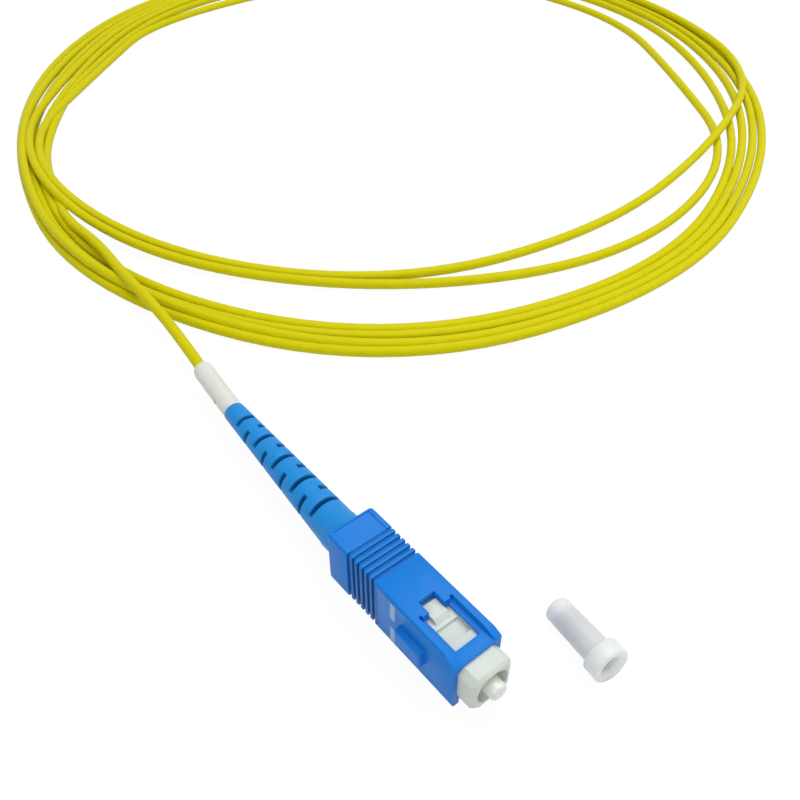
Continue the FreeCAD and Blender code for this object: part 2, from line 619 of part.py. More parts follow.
# ---------------------------------------------------------------- dust cap
def make_dust_cap():
    """The dust cap, resting on the floor on its flange and its closed end."""
    flange_x = CAP_LENGTH - CAP_FLANGE_LENGTH
    barrel = cone(0, flange_x, CAP_TIP_D, CAP_BASE_D)
    barrel = barrel.makeChamfer(CAP_TIP_CHAMFER, [e for e in barrel.Edges if at_x(0)(e)])
    flange = rod(flange_x, CAP_LENGTH, CAP_FLANGE_D)
    rims = [e for e in flange.Edges if at_x(flange_x)(e) or at_x(CAP_LENGTH)(e)]
    body = barrel.fuse(flange.makeChamfer(CAP_FLANGE_CHAMFER, rims))
    hole_d = FERRULE_D + 2 * CAP_HOLE_CLEARANCE
    body = body.cut(rod(CAP_LENGTH - CAP_HOLE_DEPTH, CAP_LENGTH, hole_d))
    body = body.cut(cone(CAP_LENGTH, CAP_LENGTH - CAP_MOUTH_CHAMFER, hole_d + 2 * CAP_MOUTH_CHAMFER, hole_d))
    tilt = math.atan((CAP_FLANGE_D - CAP_TIP_D) / 2 / (flange_x + CAP_FLANGE_CHAMFER - CAP_TIP_CHAMFER))
    body.translate(Vec(-flange_x - CAP_FLANGE_CHAMFER, 0, CAP_FLANGE_D / 2))
    body.rotate(Vec(0, 0, 0), Vec(0, 1, 0), -math.degrees(tilt))
    body.rotate(Vec(0, 0, 0), Vec(0, 0, 1), CAP_YAW)
    body.translate(Vec(CAP_PLACE[0] - CAP_FLANGE_LENGTH, CAP_PLACE[1], FLOOR_Z))
    body.translate(Vec(0, 0, FLOOR_Z - body.BoundBox.ZMin))
    return body


# ---------------------------------------------------------------- free cable
def route_points():
    """Returns the free cable's route from the sleeve's rear end to the coil."""
    start, way = bend_point(sleeve_rear_x())
    return [start, start + way * LEAD] + [Vec(x, y, FLOOR_Z + up) for x, y, up in ROUTE]


def make_cable_tube():
    """The free stretch of cable between the marker sleeve and the coil."""
    points = route_points()
    path, radii = tube_path(points)
    way = points[1] - points[0]
    circle = Part.Circle(points[0], way, JACKET_D / 2).toShape()
    corners = circle.discretize(CABLE_FACETS + 1)
    profile = Part.makePolygon(corners[:-1] + corners[:1])
    tube = path.makePipeShell([profile], True, True)
    section = Part.Face(profile).Area
    print("cable radii", [round(r, 1) for r in radii])
    print("tube volume", round(tube.Volume, 3), "section by length", round(section * path.Length, 3))
    return tube


def coil_outline(radii):
    """Returns a closed smooth wire on the floor through the coil's radii."""
    points = []
    for i, radius in enumerate(radii):
        angle = math.radians(COIL_TURN + i * 360 / len(radii))
        points.append(Vec(COIL_CENTRE[0] + radius * math.cos(angle),
                          COIL_CENTRE[1] + radius * math.sin(angle), FLOOR_Z))
    curve = Part.BSplineCurve()
    curve.interpolate(Points=points, PeriodicFlag=True)
    corners = curve.discretize(COIL_SIDES + 1)
    return Part.makePolygon(corners[:-1] + corners[:1])


def coil_ring(edge, bundle):
    """Returns one flat ring of cable between an outer edge and the bundle's width inside it."""
    outer = Part.Face(coil_outline(edge))
    inner = Part.Face(coil_outline([r - b for r, b in zip(edge, bundle)]))
    return outer.cut(inner).extrude(Vec(0, 0, COIL_LAYER))


def make_cable_coil(tube):
    """The outer shape of the coil: the main bundle and the two slack turns inside its front."""
    coil = coil_ring(COIL_EDGE_R, COIL_BUNDLE).fuse(coil_ring(SLACK_EDGE_R, SLACK_BUNDLE))
    return coil.removeSplitter().cut(tube)


# ---------------------------------------------------------------- export
def main():
    """Builds every piece and writes one STEP file for each."""
    os.makedirs("parts", exist_ok=True)
    tube = make_cable_tube()
    pieces = {
        "ferrule": make_ferrule(),
        "ferrule_flange": make_ferrule_flange(),
        "guide_tube": make_guide_tube(),
        "glass_fibre": make_glass_fibre(),
        "tight_buffer": make_tight_buffer(),
        "ferrule_spring": make_ferrule_spring(),
        "plug_frame": make_plug_frame(),
        "outer_housing": make_outer_housing(),
        "rear_body": make_rear_body(),
        "aramid_yarn": make_aramid_yarn(),
        "crimp_ring": make_crimp_ring(),
        "jacket_end": make_jacket_end(),
        "boot": make_boot(),
        "marker_sleeve": make_marker_sleeve(),
        "dust_cap": make_dust_cap(),
        "cable_tube": tube,
        "cable_coil": make_cable_coil(tube),
    }
    for name, shape in pieces.items():
        solids = shape.Solids
        print(name, len(solids), "solid", shape.isValid(), round(shape.Volume, 4))
        shape = solids[0] if len(solids) == 1 else Part.Compound(solids)
        shape.exportStep(os.path.join("parts", name + ".step"))


main()
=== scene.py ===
"""Looks of a push-pull fibre connector on a coiled cable, with its dust cap lying beside it.

Everything is in metres in the row's frame: X out of the ferrule, Y to the left, Z up. Names that end
in _mm are in millimetres, and angles are in degrees.
"""

import json
import logging
import math
from dataclasses import dataclass, field
from enum import Enum
from typing import Callable, Sequence

import bmesh
import bpy
from mathutils import Matrix, Vector

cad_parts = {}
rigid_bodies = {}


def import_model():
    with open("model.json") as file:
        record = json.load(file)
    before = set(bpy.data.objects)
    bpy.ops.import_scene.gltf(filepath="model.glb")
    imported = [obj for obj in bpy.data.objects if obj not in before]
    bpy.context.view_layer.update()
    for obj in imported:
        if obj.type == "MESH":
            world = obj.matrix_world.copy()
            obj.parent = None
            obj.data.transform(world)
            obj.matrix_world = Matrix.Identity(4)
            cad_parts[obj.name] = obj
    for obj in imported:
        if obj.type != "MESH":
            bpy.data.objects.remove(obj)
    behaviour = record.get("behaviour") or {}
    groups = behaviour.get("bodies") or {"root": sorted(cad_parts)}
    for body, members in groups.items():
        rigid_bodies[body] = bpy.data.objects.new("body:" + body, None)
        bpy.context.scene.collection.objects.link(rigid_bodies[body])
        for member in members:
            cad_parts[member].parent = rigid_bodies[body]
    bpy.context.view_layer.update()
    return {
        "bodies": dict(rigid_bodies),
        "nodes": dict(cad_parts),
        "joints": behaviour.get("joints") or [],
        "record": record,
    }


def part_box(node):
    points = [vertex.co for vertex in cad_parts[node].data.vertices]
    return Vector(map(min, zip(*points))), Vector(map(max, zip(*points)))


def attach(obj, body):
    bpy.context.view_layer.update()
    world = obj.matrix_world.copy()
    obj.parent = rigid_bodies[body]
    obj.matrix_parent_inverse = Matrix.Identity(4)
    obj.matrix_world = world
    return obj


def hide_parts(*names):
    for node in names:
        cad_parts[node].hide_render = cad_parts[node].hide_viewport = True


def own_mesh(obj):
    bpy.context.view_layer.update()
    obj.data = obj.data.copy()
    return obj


LOG = logging.getLogger("connector")
MM = 0.001

# Where the floor lies, and where the boot's cone begins and ends.
FLOOR_MM = -4.5
BOOT_FRONT_MM = -31.5
BOOT_REAR_MM = -60.3

# How a CAD node's mesh is joined up, and which of its edges are then rounded and shaded sharp.
MERGED_MM = 0.0005
FLAT_BELOW = 0.5
ROUNDED_ABOVE = 40.0
ROUNDING_STEPS = 2
SMOOTH_BELOW = 35.0

# The Mix node's colour inputs and output, by number.
COLOUR_ENDS = (6, 7)
COLOUR_RESULT = 2

WHITE = (1.0, 1.0, 1.0, 1.0)
NOISE_MEAN = 0.5

Colour = tuple[float, float, float]
Point = tuple[float, float, float]
Box = tuple[Vector, Vector]


# ------------------------------------------------------------------ nodes and shader arithmetic
class Wire:
    """An output of a shader node that Python's operators can be used on."""

    def __init__(self, tree: bpy.types.NodeTree, socket: bpy.types.NodeSocket) -> None:
        """Wraps one output socket of a tree."""
        self.tree = tree
        self.socket = socket

    def _math(self, operation: str, left: object, right: object = 0.0) -> "Wire":
        """Adds a Math node.

        Args:
            operation: The Math node's operation.
            left: Its first input, a Wire or a number.
            right: Its second input, a Wire or a number.

        Returns:
            The node's value.
        """
        made = add_node(self.tree, "ShaderNodeMath", {"operation": operation},
                        {"_0": left, "_1": right})
        return Wire(self.tree, made.outputs[0])

    def __add__(self, other: object) -> "Wire":
        """Returns self + other."""
        return self._math("ADD", self, other)

    __radd__ = __add__

    def __mul__(self, other: object) -> "Wire":
        """Returns self * other."""
        return self._math("MULTIPLY", self, other)

    __rmul__ = __mul__

    def __sub__(self, other: object) -> "Wire":
        """Returns self - other."""
        return self._math("SUBTRACT", self, other)

    def __rsub__(self, other: object) -> "Wire":
        """Returns other - self."""
        return self._math("SUBTRACT", other, self)

    def __gt__(self, other: object) -> "Wire":
        """Returns 1 where self is above other, and else 0."""
        return self._math("GREATER_THAN", self, other)

    def __lt__(self, other: object) -> "Wire":
        """Returns 1 where self is below other, and else 0."""
        return self._math("LESS_THAN", self, other)

    def size(self) -> "Wire":
        """Returns the value without its sign."""
        return self._math("ABSOLUTE", self)


def add_node(tree: bpy.types.NodeTree, kind: str, settings: dict[str, object],
             sockets: dict[str, object]) -> bpy.types.Node:
    """Adds a node to any tree.

    Args:
        tree: The tree.
        kind: The node's type.
        settings: Attributes that are set first.
        sockets: Values, Wires or sockets by input name, with _ for a space, or by number as in _6.

    Returns:
        The new node.
    """
    made = tree.nodes.new(kind)
    for setting, value in settings.items():
        setattr(made, setting, value)
    for name, value in sockets.items():
        numbered = name[1:].isdigit()
        place = made.inputs[int(name[1:]) if numbered else name.replace("_", " ")]
        source = value.socket if isinstance(value, Wire) else value
        if isinstance(source, bpy.types.NodeSocket):
            tree.links.new(source, place)
        else:
            place.default_value = source
    return made


def seen_by(tree: bpy.types.NodeTree, *rays: str) -> Wire:
    """Tells apart the rays that show a surface from those that only light the scene.

    Args:
        tree: The tree of a material or the world.
        *rays: Kinds of ray, such as "Camera".

    Returns:
        1 for those kinds of ray, and else 0.
    """
    path = add_node(tree, "ShaderNodeLightPath", {}, {})
    return sum(Wire(tree, path.outputs[f"Is {ray} Ray"]) for ray in rays) > 0.5


class Shader:
    """A new material and the one method that adds its nodes."""

    def __init__(self, name: str) -> None:
        """Makes an empty node material.

        Args:
            name: The material's name.
        """
        self.material = bpy.data.materials.new(name)
        self.material.use_nodes = True
        self.tree = self.material.node_tree
        self.tree.nodes.clear()

    def node(self, kind: str, settings: dict | None = None, **sockets: object) -> bpy.types.Node:
        """Adds a node.

        Args:
            kind: The node's type without its "ShaderNode" prefix.
            settings: Attributes that are set first.
            **sockets: Values or Wires by input name or number, as add_node takes them.

        Returns:
            The new node.
        """
        return add_node(self.tree, "ShaderNode" + kind, settings or {}, sockets)

    def wire(self, made: bpy.types.Node, output: str | int = 0) -> Wire:
        """Returns one output of a node as a Wire."""
        return Wire(self.tree, made.outputs[output])

    def place(self) -> Wire:
        """Returns the Object coordinates, in metres in the row's frame."""
        return self.wire(self.node("TexCoord"), "Object")

    def axes(self) -> tuple[Wire, Wire, Wire]:
        """Returns the three Object coordinates."""
        parts = self.node("SeparateXYZ", Vector=self.place())
        return self.wire(parts, "X"), self.wire(parts, "Y"), self.wire(parts, "Z")

    def noise(self, per_mm: float, detail: float = 2.0) -> Wire:
        """Returns a noise about 0.5 with so many grains per millimetre."""
        made = self.node("TexNoise", Vector=self.place(), Scale=per_mm / MM, Detail=detail)
        return self.wire(made, "Fac")

    def mix(self, factor: Wire, first: object, second: object) -> Wire:
        """Mixes two colours.

        Args:
            factor: 0 for the first, 1 for the second.
            first: A Wire or a Colour.
            second: A Wire or a Colour.

        Returns:
            The mixed colour.
        """
        ends = {f"_{place}": value if isinstance(value, Wire) else (*value, 1.0)
                for place, value in zip(COLOUR_ENDS, (first, second))}
        return self.wire(self.node("Mix", {"data_type": "RGBA"}, _0=factor, **ends), COLOUR_RESULT)

    def bump(self, height: Wire, depth_mm: float) -> Wire:
        """Returns the normal of a surface whose height varies by depth_mm."""
        return self.wire(self.node("Bump", Height=height, Distance=depth_mm * MM, Strength=1.0))

    def finish(self, surface: bpy.types.Node) -> bpy.types.Material:
        """Links a surface shader to the output and returns the material."""
        self.node("OutputMaterial", Surface=self.wire(surface))
        return self.material


def light(share: float) -> float:
    """Returns the linear light of a colour's share of 0 to 1, by the usual screen curve."""
    return share / 12.92 if share <= 0.04045 else ((share + 0.055) / 1.055) ** 2.4


def linear(red: int, green: int, blue: int) -> Colour:
    """Returns a colour of 0 to 255 steps as linear light."""
    return tuple(light(step / 255) for step in (red, green, blue))


def scaled(colour: Colour, by: float) -> Colour:
    """Returns a colour made lighter or darker."""
    return tuple(min(1.0, c * by) for c in colour)


# ------------------------------------------------------------------ finishes
class Grain(Enum):
    """What a plain surface's fine relief looks like."""

    MOULDED = "moulded"
    TURNED = "turned"
    EXTRUDED = "extruded"
    WOVEN = "woven"


# The waves of the ringed grains: direction, distortion and detail.
WAVES: dict[Grain, tuple[str, float, float]] = {
    Grain.TURNED: ("X", 0.6, 1.0),
    Grain.WOVEN: ("DIAGONAL", 2.0, 2.0),
}


@dataclass(frozen=True)
class Finish:
    """A plastic, metal or ceramic surface with its fine relief and slight unevenness."""

    name: str
    colour: Colour
    roughness: float
    unevenness: float
    grain: Grain
    grain_per_mm: float
    depth_mm: float
    metallic: float = 0.0
    coat: float = 0.0
    subsurface: float = 0.0
    subsurface_mm: float = 0.6
    transmission: float = 0.0
    specular: float = 0.5
    clouds_per_mm: float = 0.35
    gloss_per_mm: float = 1.3
    gloss_spread: float = 0.12
    moulded_detail: float = 3.0
    fine_detail: float = 1.0
    fine_share: float = 0.7
    coarse_grain: float = 0.4

    def height(self, shader: Shader) -> Wire:
        """Makes the fine relief of this grain.

        Args:
            shader: The material that is being made.

        Returns:
            A height of about 0 to 1.
        """
        if self.grain in WAVES:
            direction, distortion, detail = WAVES[self.grain]
            rings = shader.node("TexWave", {"wave_type": "BANDS", "bands_direction": direction},
                                Vector=shader.place(), Scale=self.grain_per_mm / MM / math.tau,
                                Distortion=distortion, Detail=detail)
            return shader.wire(rings, "Fac")
        if self.grain is Grain.EXTRUDED:
            fine = shader.noise(self.grain_per_mm, self.fine_detail)
            coarse = shader.noise(self.coarse_grain * self.grain_per_mm)
            return self.fine_share * fine + (1 - self.fine_share) * coarse
        return shader.noise(self.grain_per_mm, self.moulded_detail)

    def tint(self, shader: Shader) -> Wire:
        """Makes the base colour with its slow variation.

        Args:
            shader: The material that is being made.

        Returns:
            The base colour.
        """
        clouds = shader.noise(self.clouds_per_mm)
        dark, pale = (scaled(self.colour, 1 + sign * self.unevenness) for sign in (-1, 1))
        return shader.mix(clouds, dark, pale)

    def material(self) -> bpy.types.Material:
        """Makes the finish.

        Returns:
            The Blender material.
        """
        shader = Shader(self.name)
        gloss = self.roughness + self.gloss_spread * (shader.noise(self.gloss_per_mm) - NOISE_MEAN)
        surface = shader.node(
            "BsdfPrincipled",
            Base_Color=self.tint(shader),
            Roughness=gloss,
            Normal=shader.bump(self.height(shader), self.depth_mm),
            Metallic=self.metallic,
            Coat_Weight=self.coat,
            Subsurface_Weight=self.subsurface,
            Subsurface_Radius=(1.0, 1.0, 1.0),
            Subsurface_Scale=self.subsurface_mm * MM,
            Transmission_Weight=self.transmission,
            Specular_IOR_Level=self.specular,
        )
        return shader.finish(surface)


@dataclass(frozen=True)
class SleeveFinish(Finish):
    """White sleeving with one short dark bar on its right side."""

    bar_x: tuple[float, float] = (-64.3, -63.7)
    bar_z: tuple[float, float] = (-0.9, 0.35)
    bar_y_below: float = 1.9
    bar_colour: Colour = linear(70, 68, 62)
    bar_share: float = 0.8
    specks_per_mm: float = 5.0
    specks_from: float = 0.42

    def tint(self, shader: Shader) -> Wire:
        """Makes the white with the bar on it.

        Args:
            shader: The material that is being made.

        Returns:
            The base colour.
        """
        x, y, z = shader.axes()
        along = (x > self.bar_x[0] * MM) * (x < self.bar_x[1] * MM)
        aside = (z > self.bar_z[0] * MM) * (z < self.bar_z[1] * MM) * (y < self.bar_y_below * MM)
        ink = along * aside * (shader.noise(self.specks_per_mm) > self.specks_from)
        return shader.mix(self.bar_share * ink, super().tint(shader), self.bar_colour)


@dataclass(frozen=True)
class PaintedRecessShadeFinish(Finish):
    """A colour with painted shade, darker inside the piece's recesses where shade falls."""

    depth_from_mm: float = 0.12
    # How strongly and how darkly shade is painted into the recesses.
    painted_shade_share: float = 0.55
    painted_shade_level: float = 0.35

    def recess(self, shader: Shader) -> Wire:
        """Returns 1 inside the recesses and else 0, as each piece's own finish says."""
        raise NotImplementedError

    def tint(self, shader: Shader) -> Wire:
        """Makes the colour with painted shade in its recesses.

        Args:
            shader: The material that is being made.

        Returns:
            The base colour.
        """
        # Painted shade: the recesses get a darker copy of the colour.
        painted_shade_colour = scaled(self.colour, self.painted_shade_level)
        return shader.mix(self.painted_shade_share * self.recess(shader), super().tint(shader), painted_shade_colour)


@dataclass(frozen=True)
class RibbedFinish(PaintedRecessShadeFinish):
    """The housing's blue, with painted shade inside the grooves of its grip."""

    half_mm: tuple[float, float] = (3.7, 4.5)
    grip_x: tuple[float, float] = (-24.6, -18.4)

    def recess(self, shader: Shader) -> Wire:
        """Marks what lies under the grip's surface.

        Args:
            shader: The material that is being made.

        Returns:
            1 in the grooves, and else 0.
        """
        x, y, z = shader.axes()
        across, up = ((half - self.depth_from_mm) * MM for half in self.half_mm)
        along = (x > self.grip_x[0] * MM) * (x < self.grip_x[1] * MM)
        return along * (y.size() < across) * (z.size() < up)


@dataclass(frozen=True)
class SlottedFinish(PaintedRecessShadeFinish):
    """The boot's blue, with painted shade inside its slots."""

    front_radius_mm: float = 2.975
    rear_radius_mm: float = 1.7
    axis_rise: float = 0.0457
    plain_mm: float = 0.5

    def recess(self, shader: Shader) -> Wire:
        """Marks what lies under the cone's surface.

        Args:
            shader: The material that is being made.

        Returns:
            1 in the slots, and else 0.
        """
        x, y, z = shader.axes()
        along = BOOT_FRONT_MM * MM - x
        fall = (self.front_radius_mm - self.rear_radius_mm) / (BOOT_FRONT_MM - BOOT_REAR_MM)
        allowed = (self.front_radius_mm - self.depth_from_mm) * MM - fall * along
        aside = y - self.axis_rise * along
        return (aside * aside + z * z < allowed * allowed) * (along > self.plain_mm * MM)


# Each by its name, colour, roughness, unevenness, grain, grains per millimetre and their depth.
FINISHES: dict[str, Finish] = {
    # The housing's and the boot's finishes paint shade into their grooves and slots.
    "housing": RibbedFinish("housing_blue", linear(2, 126, 222), 0.42, 0.03, Grain.MOULDED, 5.0, 0.003,
                            specular=0.2),
    "boot": SlottedFinish("boot_blue", linear(28, 144, 224), 0.46, 0.04, Grain.MOULDED, 6.0, 0.004,
                          specular=0.25, depth_from_mm=0.25, painted_shade_share=0.75, painted_shade_level=0.3),
    "frame": Finish("frame_white", linear(219, 227, 218), 0.4, 0.03, Grain.MOULDED, 5.0, 0.003,
                    subsurface=0.1, specular=0.3),
    "ceramic": Finish("ceramic_white", linear(236, 240, 230), 0.22, 0.01, Grain.TURNED, 22.0, 0.0006,
                      coat=0.2, subsurface=0.1),
    "nickel": Finish("nickel_plate", linear(196, 192, 182), 0.28, 0.05, Grain.TURNED, 12.0, 0.003,
                     metallic=1.0),
    "crimp": Finish("crimp_plate", linear(188, 184, 172), 0.35, 0.06, Grain.TURNED, 9.0, 0.004,
                    metallic=1.0),
    "steel": Finish("spring_wire", linear(150, 150, 150), 0.3, 0.05, Grain.EXTRUDED, 8.0, 0.002,
                    metallic=1.0),
    "natural": Finish("natural_plastic", linear(225, 225, 216), 0.4, 0.02, Grain.EXTRUDED, 6.0, 0.002,
                      subsurface=0.3),
    "buffer": Finish("buffer_white", linear(228, 228, 220), 0.45, 0.02, Grain.EXTRUDED, 8.0, 0.002),
    "glass": Finish("bare_glass", (0.95, 0.97, 1.0), 0.05, 0.01, Grain.EXTRUDED, 8.0, 0.0005,
                    transmission=0.9),
    "yarn": Finish("aramid_yellow", linear(222, 190, 96), 0.7, 0.12, Grain.WOVEN, 10.0, 0.02),
    "jacket": Finish("jacket_yellow", linear(218, 210, 0), 0.55, 0.05, Grain.EXTRUDED, 3.0, 0.012,
                     specular=0.12),
    "sleeve": SleeveFinish("sleeve_white", linear(232, 232, 223), 0.5, 0.02, Grain.EXTRUDED, 4.0, 0.01,
                           subsurface=0.5, subsurface_mm=1.2),
    "cap": Finish("cap_natural", linear(238, 248, 243), 0.35, 0.01, Grain.MOULDED, 2.0, 0.003,
                  subsurface=1.0, subsurface_mm=2.5, specular=0.35),
    "paint": Finish("mark_paint", linear(150, 190, 228), 0.5, 0.08, Grain.MOULDED, 9.0, 0.004),
}


def dress(piece: bpy.types.Object, material: bpy.types.Material) -> None:
    """Gives a piece one material in place of whatever it had."""
    piece.data.materials.clear()
    piece.data.materials.append(material)


# ------------------------------------------------------------------ mesh helpers
def shown(name: str, data: bpy.types.ID) -> bpy.types.Object:
    """Puts a mesh, curve, lamp or camera into the scene.

    Args:
        name: The new object's name.
        data: What it shows.

    Returns:
        The new object, at the origin.
    """
    made = bpy.data.objects.new(name, data)
    bpy.context.scene.collection.objects.link(made)
    return made


def meshed(name: str, shape: bmesh.types.BMesh) -> bpy.types.Object:
    """Turns a finished shape into an object and frees it.

    Args:
        name: The new object's name.
        shape: The shape.

    Returns:
        The new mesh object.
    """
    mesh = bpy.data.meshes.new(name)
    shape.to_mesh(mesh)
    shape.free()
    return shown(name, mesh)


def baked(piece: bpy.types.Object, name: str) -> bpy.types.Object:
    """Keeps the evaluated shape of a piece as a plain mesh, and removes the piece.

    Args:
        piece: The mesh object with its modifiers.
        name: The new object's name.

    Returns:
        The plain mesh object.
    """
    bpy.context.view_layer.update()
    graph = bpy.context.evaluated_depsgraph_get()
    mesh = bpy.data.meshes.new_from_object(piece.evaluated_get(graph))
    old = piece.data
    bpy.data.objects.remove(piece)
    bpy.data.meshes.remove(old)
    mesh.name = name
    return shown(name, mesh)


def softened(node: bpy.types.Object, name: str, radius_mm: float) -> bpy.types.Object:
    """Copies a CAD node and rounds its sharp edges.

    Args:
        node: The CAD node.
        name: The new object's name.
        radius_mm: The rounding's width.

    Returns:
        The new mesh object.
    """
    mesh = node.data.copy()
    shape = bmesh.new()
    shape.from_mesh(mesh)
    bmesh.ops.remove_doubles(shape, verts=shape.verts, dist=MERGED_MM * MM)
    bmesh.ops.dissolve_limit(shape, angle_limit=math.radians(FLAT_BELOW), verts=shape.verts,
                             edges=shape.edges)
    bmesh.ops.recalc_face_normals(shape, faces=shape.faces)
    shape.to_mesh(mesh)
    shape.free()
    piece = shown(name + "_raw", mesh)
    bevel = piece.modifiers.new("rounding", "BEVEL")
    bevel.width = radius_mm * MM
    bevel.segments = ROUNDING_STEPS
    bevel.limit_method = "ANGLE"
    bevel.angle_limit = math.radians(ROUNDED_ABOVE)
    made = baked(piece, name)
    smooth(made)
    return made


def smooth(piece: bpy.types.Object, below: float = SMOOTH_BELOW) -> None:
    """Shades a mesh smooth except across sharp edges.

    Args:
        piece: The mesh object.
        below: Edges that turn by less than this are smooth.
    """
    shape = bmesh.new()
    shape.from_mesh(piece.data)
    for face in shape.faces:
        face.smooth = True
    for edge in shape.edges:
        edge.smooth = len(edge.link_faces) == 2 and edge.calc_face_angle(0.0) < math.radians(below)
    shape.to_mesh(piece.data)
    shape.free()


def lathe(name: str, outline: Sequence[tuple[float, float]], steps: int,
          place: Matrix = Matrix.Identity(4),
          bend: Callable[[Vector], Vector] = lambda point: point) -> bpy.types.Object:
    """Turns an outline round X into a closed mesh.

    Args:
        name: The object's name.
        outline: Distances along X and from the axis, in millimetres. A closed loop.
        steps: Facets round the axis.
        place: Where the turned shape goes, in metres.
        bend: What moves each point before it is placed, in millimetres.

    Returns:
        The new mesh object.
    """
    shape = bmesh.new()
    rings: list[list[bmesh.types.BMVert]] = []
    for along, radius in outline:
        ring = []
        for i in range(steps if radius > 0 else 1):
            turn = math.tau * i / steps
            point = Vector((along, radius * math.cos(turn), radius * math.sin(turn)))
            ring.append(shape.verts.new(place @ (bend(point) * MM)))
        rings.append(ring)
    for one, other in zip(rings, rings[1:] + rings[:1]):
        if len(one) == 1 and len(other) == 1:
            continue
        for i in range(steps):
            j = (i + 1) % steps
            loop = [one[i % len(one)], one[j % len(one)], other[j % len(other)], other[i % len(other)]]
            shape.faces.new(list(dict.fromkeys(loop)))
    bmesh.ops.recalc_face_normals(shape, faces=shape.faces)
    made = meshed(name, shape)
    smooth(made)
    return made


class ShapeTree:
    """A Geometry Nodes tree and the one method that adds its nodes."""

    def __init__(self, name: str) -> None:
        """Makes an empty tree with its geometry output.

        Args:
            name: The tree's name.
        """
        self.tree = bpy.data.node_groups.new(name, "GeometryNodeTree")
        self.tree.interface.new_socket(name="Geometry", in_out="OUTPUT",
                                       socket_type="NodeSocketGeometry")
        self.inputs = self.tree.nodes.new("NodeGroupInput")
        self.given: dict[str, object] = {}

    def put_in(self, name: str, kind: str, value: object) -> bpy.types.NodeSocket:
        """Adds a named input.

        Args:
            name: The input's name.
            kind: Its socket type without its "NodeSocket" prefix.
            value: What the modifier gives it.

        Returns:
            The socket that carries the input.
        """
        made = self.tree.interface.new_socket(name=name, in_out="INPUT",
                                              socket_type="NodeSocket" + kind)
        self.given[made.identifier] = value
        return self.inputs.outputs[name]

    def node(self, kind: str, settings: dict | None = None, **sockets: object) -> bpy.types.NodeSocket:
        """Adds a node.

        Args:
            kind: The node's type without its "GeometryNode" prefix, or a shader node's whole type.
            settings: Attributes that are set first.
            **sockets: Values or sockets by input name or number, as add_node takes them.

        Returns:
            The node's first output.
        """
        whole = kind if kind.startswith("ShaderNode") else "GeometryNode" + kind
        return add_node(self.tree, whole, settings or {}, sockets).outputs[0]

    def swept(self, path: bpy.types.NodeSocket, sides: int, radius: bpy.types.NodeSocket,
              finish: bpy.types.NodeSocket, name: str) -> bpy.types.Object:
        """Sweeps a round section along the path, runs the tree once and keeps its mesh.

        Args:
            path: The curves.
            sides: The section's sides.
            radius: The section's radius.
            finish: The mesh's material.
            name: The new object's name.

        Returns:
            The plain mesh object.
        """
        section = self.node("CurvePrimitiveCircle", Resolution=sides, Radius=radius)
        tube = self.node("CurveToMesh", Curve=path, Profile_Curve=section, Fill_Caps=True)
        real = self.node("RealizeInstances", Geometry=tube)
        dressed = self.node("SetMaterial", Geometry=real, Material=finish)
        self.tree.links.new(dressed, self.tree.nodes.new("NodeGroupOutput").inputs[0])
        holder = shown(name + "_tree", bpy.data.meshes.new(name + "_tree"))
        modifier = holder.modifiers.new("tree", "NODES")
        modifier.node_group = self.tree
        for identifier, value in self.given.items():
            modifier[identifier] = value
        made = baked(holder, name)
        bpy.data.node_groups.remove(self.tree)
        return made


# ------------------------------------------------------------------ camera and light
@dataclass(frozen=True)
class Lamp:
    """A square soft lamp."""

    name: str
    place_mm: Point
    size_mm: float
    power: float

    def hang(self, aim_mm: Point) -> None:
        """Puts the lamp in its place.

        Args:
            aim_mm: What it points at.
        """
        data = bpy.data.lights.new(self.name, "AREA")
        data.size = self.size_mm * MM
        data.energy = self.power
        lamp = shown(self.name, data)
        lamp.location = Vector(self.place_mm) * MM
        aim = Vector(aim_mm) * MM - lamp.location
        lamp.rotation_euler = aim.to_track_quat("-Z", "Y").to_euler()


